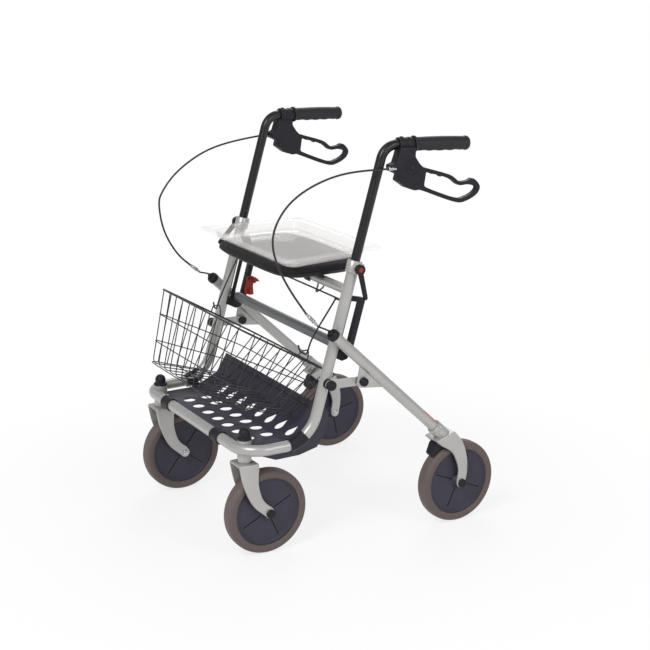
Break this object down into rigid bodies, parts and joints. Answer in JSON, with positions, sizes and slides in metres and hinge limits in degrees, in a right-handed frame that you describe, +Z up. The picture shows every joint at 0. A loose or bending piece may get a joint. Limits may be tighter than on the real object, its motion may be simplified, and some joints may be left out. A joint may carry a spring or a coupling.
{
  "type": "rollator",
  "caption": "Folding wheeled walking frame with telescoping handles, loop brake levers, a seat with a clear tray, a wire basket and a pierced kerb shelf.",
  "frame": {"origin": "on the floor, midway between the left and right wheels and between the foremost and rearmost points of the tyres", "axes": "+Z up, -Y the way the user walks, +X to the user's left"},
  "size_m": [0.64, 0.6794, 0.9317],
  "materials": {
    "frame_paint": "satin silver-beige paint",
    "cross_tube": "satin grey paint",
    "handle_black": "satin black paint",
    "black_plastic": "matte moulded",
    "grip_rubber": "matte",
    "cable_black": "satin sleeve",
    "bright_steel": "bright",
    "tyre_grey": "matte",
    "hub_slate": "matte moulded",
    "shelf_plastic": "matte moulded",
    "seat_black": "matte foam skin",
    "tray_clear": "clear gloss",
    "wire_black": "black coated wire",
    "latch_red": "matte moulded"
  },
  "bodies": {
    "front_frame": {"front_frame": "frame_paint", "seat_cross_tube": "frame_paint", "height_collar_left": "frame_paint", "height_collar_right": "frame_paint", "slot_guide_left": "black_plastic", "slot_guide_right": "black_plastic", "caster_cap_left": "black_plastic", "caster_cap_right": "black_plastic", "lower_shelf": "shelf_plastic", "upright_pivot_pin_left": "black_plastic", "upright_pivot_pin_right": "black_plastic", "brake_cable_lower_left": "cable_black", "brake_cable_lower_right": "cable_black"},
    "fold_links": {"fold_link_left": "frame_paint", "fold_link_right": "frame_paint"},
    "rear_frame": {"rear_leg_left": "frame_paint", "rear_leg_right": "frame_paint", "rear_cross_tube": "cross_tube", "leg_cap_left": "black_plastic", "leg_cap_right": "black_plastic", "rear_fork_left": "frame_paint", "rear_fork_right": "frame_paint", "gusset_pivot_pin_left": "black_plastic", "gusset_pivot_pin_right": "black_plastic", "rear_axle_bolt_left": "bright_steel", "rear_axle_bolt_right": "bright_steel"},
    "cable_adjusters": {"cable_adjuster_left": "bright_steel", "cable_adjuster_right": "bright_steel"},
    "fold_latch": {"fold_latch": "latch_red"},
    "seat": {"seat": "seat_black"},
    "tray": {"tray": "tray_clear"},
    "basket": {"wire_basket": "wire_black", "basket_bail": "wire_black"},
    "handle_left": {"handle_tube_left": "handle_black", "grip_left": "grip_rubber", "brake_housing_left": "black_plastic", "brake_cable_upper_left": "cable_black"},
    "brake_lever_left": {"brake_lever_left": "black_plastic"},
    "brake_shoe_left": {"brake_shoe_left": "black_plastic"},
    "clamp_lever_left": {"clamp_lever_left": "black_plastic"},
    "caster_left": {"caster_fork_left": "frame_paint", "front_axle_bolt_left": "bright_steel"},
    "front_wheel_left": {"front_tyre_left": "tyre_grey", "front_hub_left": "hub_slate"},
    "rear_wheel_left": {"rear_tyre_left": "tyre_grey", "rear_hub_left": "hub_slate"},
    "handle_right": {"handle_tube_right": "handle_black", "grip_right": "grip_rubber", "brake_housing_right": "black_plastic", "brake_cable_upper_right": "cable_black"},
    "brake_lever_right": {"brake_lever_right": "black_plastic"},
    "brake_shoe_right": {"brake_shoe_right": "black_plastic"},
    "clamp_lever_right": {"clamp_lever_right": "black_plastic"},
    "caster_right": {"caster_fork_right": "frame_paint", "front_axle_bolt_right": "bright_steel"},
    "front_wheel_right": {"front_tyre_right": "tyre_grey", "front_hub_right": "hub_slate"},
    "rear_wheel_right": {"rear_tyre_right": "tyre_grey", "rear_hub_right": "hub_slate"}
  },
  "joints": [
    {"name": "fold", "type": "hinge", "parent": "front_frame", "child": "fold_links", "pos_m": [0, -0.11062, 0.396], "axis": [1, 0, 0], "range_deg": [0, 54]},
    {"name": "rear_frame_turn", "type": "hinge", "parent": "fold_links", "child": "rear_frame", "pos_m": [0, -0.0283, 0.3925], "axis": [1, 0, 0], "range_deg": [-91, 0.2]},
    {"name": "cable_adjusters_turn", "type": "hinge", "parent": "front_frame", "child": "cable_adjusters", "pos_m": [0, 0.29896, 0.31654], "axis": [1, 0, 0], "range_deg": [-14.2, 0.2], "deforming": ["brake_cable_lower_left", "brake_cable_lower_right", "cable_adjuster_left", "cable_adjuster_right"]},
    {"name": "latch_turn", "type": "hinge", "parent": "front_frame", "child": "fold_latch", "pos_m": [-0.257, -0.0282, 0.51137], "axis": [1, 0, 0], "range_deg": [-38, 0]},
    {"name": "seat_flip", "type": "hinge", "parent": "front_frame", "child": "seat", "pos_m": [0, -0.05174, 0.6], "axis": [1, 0, 0], "range_deg": [-70, 0]},
    {"name": "tray_lift", "type": "slide", "parent": "seat", "child": "tray", "axis": [0, 0, 1], "range_m": [0, 0.15]},
    {"name": "basket_swing", "type": "hinge", "parent": "front_frame", "child": "basket", "pos_m": [0, -0.063, 0.5775], "axis": [1, 0, 0], "range_deg": [-30, 0]},
    {"name": "handle_height_left", "type": "slide", "parent": "front_frame", "child": "handle_left", "axis": [0, 0.2773, 0.9608], "range_m": [-0.12, 0.06], "deforming": ["brake_cable_upper_left"]},
    {"name": "brake_squeeze_left", "type": "hinge", "parent": "handle_left", "child": "brake_lever_left", "pos_m": [0.27443, 0.10076, 0.86543], "axis": [0.9984, -0.0558, 0], "range_deg": [0, 18], "stiffness_Nm_per_rad": 3, "springref_deg": -8.59},
    {"name": "brake_shoe_slide_left", "type": "slide", "parent": "rear_frame", "child": "brake_shoe_left", "axis": [0, 0.5878, -0.809], "range_m": [-0.0002, 0.0037]},
    {"name": "clamp_turn_left", "type": "hinge", "parent": "front_frame", "child": "clamp_lever_left", "pos_m": [0.265, -0.03716, 0.65051], "axis": [1, 0, 0], "range_deg": [-120, 120]},
    {"name": "caster_swivel_left", "type": "hinge", "parent": "front_frame", "child": "caster_left", "pos_m": [0.221, -0.2908, 0.2266], "axis": [0, 0, 1], "continuous": true},
    {"name": "front_wheel_spin_left", "type": "hinge", "parent": "caster_left", "child": "front_wheel_left", "pos_m": [0.221, -0.2397, 0.1], "axis": [1, 0, 0], "continuous": true},
    {"name": "rear_wheel_spin_left", "type": "hinge", "parent": "rear_frame", "child": "rear_wheel_left", "pos_m": [0.289, 0.2397, 0.1], "axis": [1, 0, 0], "continuous": true},
    {"name": "handle_height_right", "type": "slide", "parent": "front_frame", "child": "handle_right", "axis": [0, 0.2773, 0.9608], "range_m": [-0.12, 0.06], "deforming": ["brake_cable_upper_right"]},
    {"name": "brake_squeeze_right", "type": "hinge", "parent": "handle_right", "child": "brake_lever_right", "pos_m": [-0.27443, 0.10076, 0.86543], "axis": [0.9984, 0.0558, 0], "range_deg": [0, 18], "stiffness_Nm_per_rad": 3, "springref_deg": -8.59},
    {"name": "brake_shoe_slide_right", "type": "slide", "parent": "rear_frame", "child": "brake_shoe_right", "axis": [0, 0.5878, -0.809], "range_m": [-0.0002, 0.0037]},
    {"name": "clamp_turn_right", "type": "hinge", "parent": "front_frame", "child": "clamp_lever_right", "pos_m": [-0.265, -0.03716, 0.65051], "axis": [-1, 0, 0], "range_deg": [-120, 120]},
    {"name": "caster_swivel_right", "type": "hinge", "parent": "front_frame", "child": "caster_right", "pos_m": [-0.221, -0.2908, 0.2266], "axis": [0, 0, 1], "continuous": true},
    {"name": "front_wheel_spin_right", "type": "hinge", "parent": "caster_right", "child": "front_wheel_right", "pos_m": [-0.221, -0.2397, 0.1], "axis": [1, 0, 0], "continuous": true},
    {"name": "rear_wheel_spin_right", "type": "hinge", "parent": "rear_frame", "child": "rear_wheel_right", "pos_m": [-0.289, 0.2397, 0.1], "axis": [1, 0, 0], "continuous": true}
  ],
  "couplings": [
    {"joint": "rear_frame_turn", "follows": "fold", "ratio": -1.68},
    {"joint": "cable_adjusters_turn", "follows": "fold", "ratio": -0.25926},
    {"joint": "brake_shoe_slide_left", "follows": "brake_squeeze_left", "m_per_rad": 0.0112},
    {"joint": "brake_shoe_slide_right", "follows": "brake_squeeze_right", "m_per_rad": 0.0112}
  ]
}
